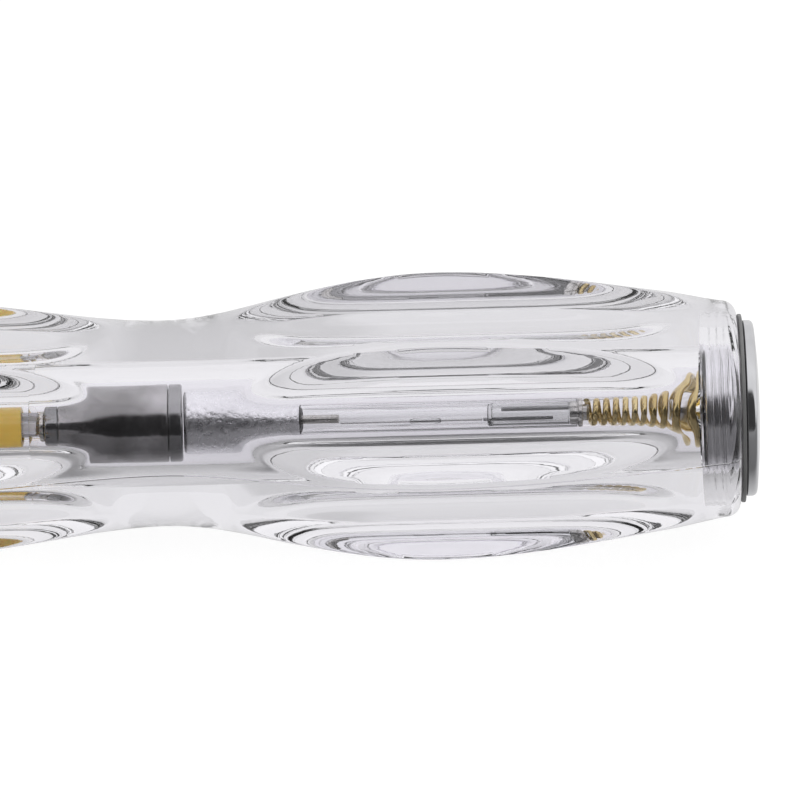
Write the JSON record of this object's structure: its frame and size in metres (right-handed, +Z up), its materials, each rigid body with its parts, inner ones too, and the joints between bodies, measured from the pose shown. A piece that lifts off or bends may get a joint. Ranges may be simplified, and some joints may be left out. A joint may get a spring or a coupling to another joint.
{
  "type": "voltage tester screwdriver",
  "caption": "Slotted screwdriver with a clear fluted handle that shows a neon tester train behind a screwed metal touch cap.",
  "frame": {"origin": "centre of the blade's end face, on the tool's axis", "axes": "+X along the tool's axis from the blade tip to the touch cap, +Z up, with the blade's width along Y and a flute straight down"},
  "size_m": [0.1958, 0.0254, 0.0226],
  "materials": {
    "blade_steel": "ground and plated steel",
    "yellow_insulation": "satin yellow tube",
    "clear_plastic": "clear polished moulding",
    "nickel": "nickel plate",
    "carbon_black": "satin black rod",
    "dark_metal": "dark plated metal",
    "frosted_aluminium": "frosted",
    "lamp_glass": "clear glass",
    "spring_brass": "drawn wire",
    "cap_metal": "polished plate",
    "washer_grey": "plain"
  },
  "bodies": {
    "handle_body": {"shank": "blade_steel", "shank_sleeve": "yellow_insulation", "handle": "clear_plastic", "contact_washer": "nickel", "resistor_body": "carbon_black", "resistor_front_cap": "dark_metal", "resistor_rear_cap": "dark_metal", "contact_cup": "frosted_aluminium", "lamp_envelope": "lamp_glass", "lamp_front_pin": "nickel", "lamp_rear_cap": "nickel", "electrode_tube": "lamp_glass", "front_electrode": "dark_metal", "rear_electrode": "dark_metal", "lamp_lead": "nickel", "lead_bead": "lamp_glass", "contact_spring": "spring_brass"},
    "washer_body": {"seal_washer": "washer_grey"},
    "cap_body": {"tail_plug": "cap_metal", "touch_cap": "cap_metal"}
  },
  "joints": [
    {"name": "cap_travel", "type": "slide", "parent": "handle_body", "child": "washer_body", "axis": [1, 0, 0], "range_m": [0, 0.0035], "deforming": ["contact_spring"]},
    {"name": "cap_turn", "type": "hinge", "parent": "washer_body", "child": "cap_body", "pos_m": [0.19035, 0, 0], "axis": [1, 0, 0], "range_deg": [0, 1800]}
  ],
  "couplings": [
    {"joint": "cap_travel", "follows": "cap_turn", "m_per_rad": 0.0001114}
  ]
}
